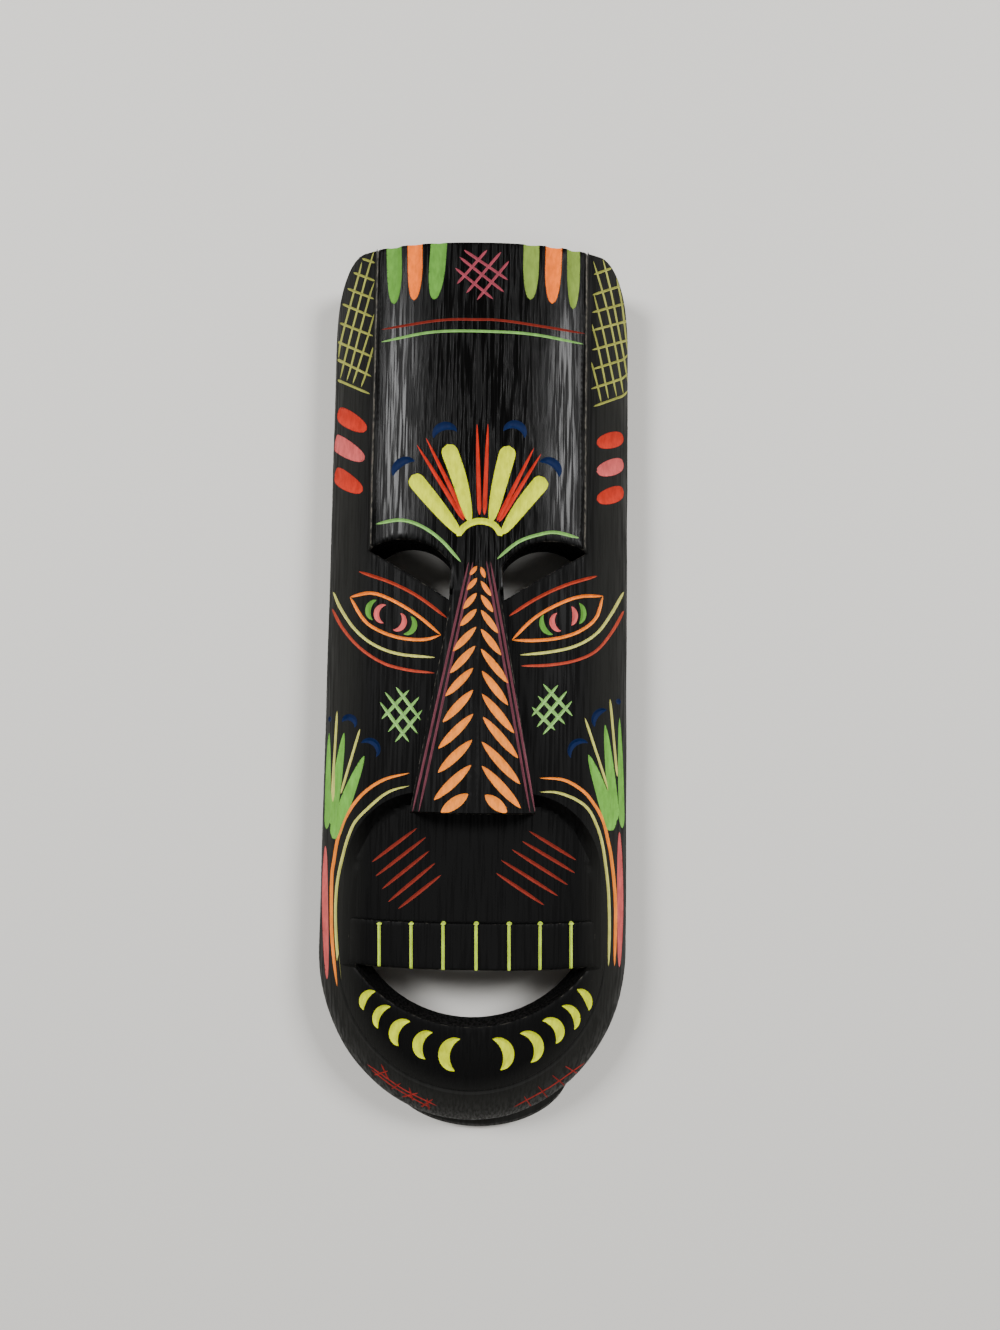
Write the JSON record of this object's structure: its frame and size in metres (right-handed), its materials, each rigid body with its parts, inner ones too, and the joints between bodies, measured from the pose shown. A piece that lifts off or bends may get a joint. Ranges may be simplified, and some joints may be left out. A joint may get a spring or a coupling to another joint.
{
  "type": "carved wooden mask",
  "caption": "Long hollow-backed wooden mask with half-moon eyes, wedge nose and open mouth, black with gouge-cut coloured strokes.",
  "frame": {"origin": "middle of the bounding box's underside, on the plane of the flat back rim", "axes": "+Z is the way the face looks, +Y towards the top of the head, +X towards the viewer's right"},
  "size_m": [0.18, 0.511, 0.072],
  "materials": {
    "painted_wood": "gloss"
  },
  "bodies": {
    "root": {"mask": "painted_wood"}
  },
  "joints": []
}
